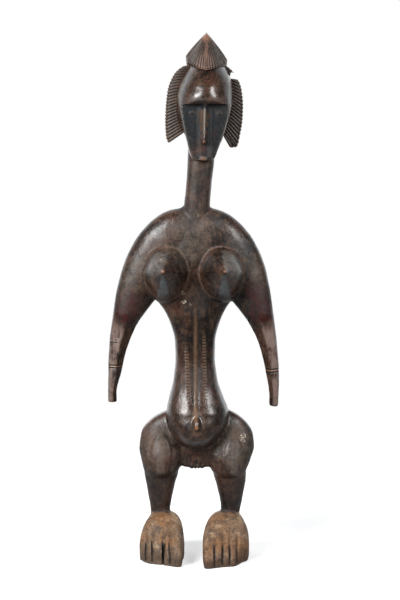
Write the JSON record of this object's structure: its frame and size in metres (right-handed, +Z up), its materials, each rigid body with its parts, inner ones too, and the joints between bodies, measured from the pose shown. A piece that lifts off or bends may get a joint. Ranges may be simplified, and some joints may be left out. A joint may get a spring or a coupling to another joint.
{
  "type": "fertility figure",
  "caption": "Standing carved wooden female figure with conical breasts, long arms, rounded hips, braided crest and side tresses, on two broad flat-soled feet.",
  "frame": {"origin": "centre of the bounding box's underside, on the plane that both soles stand on", "axes": "+Z up through the crest, +X to the right of a viewer who faces the figure, and the face looks along -Y"},
  "size_m": [0.1954, 0.1124, 0.6],
  "materials": {
    "wood": "dark oiled patina, half glossy, worn to light brown on the feet and on high spots"
  },
  "bodies": {
    "root": {"figure": "wood"}
  },
  "joints": []
}
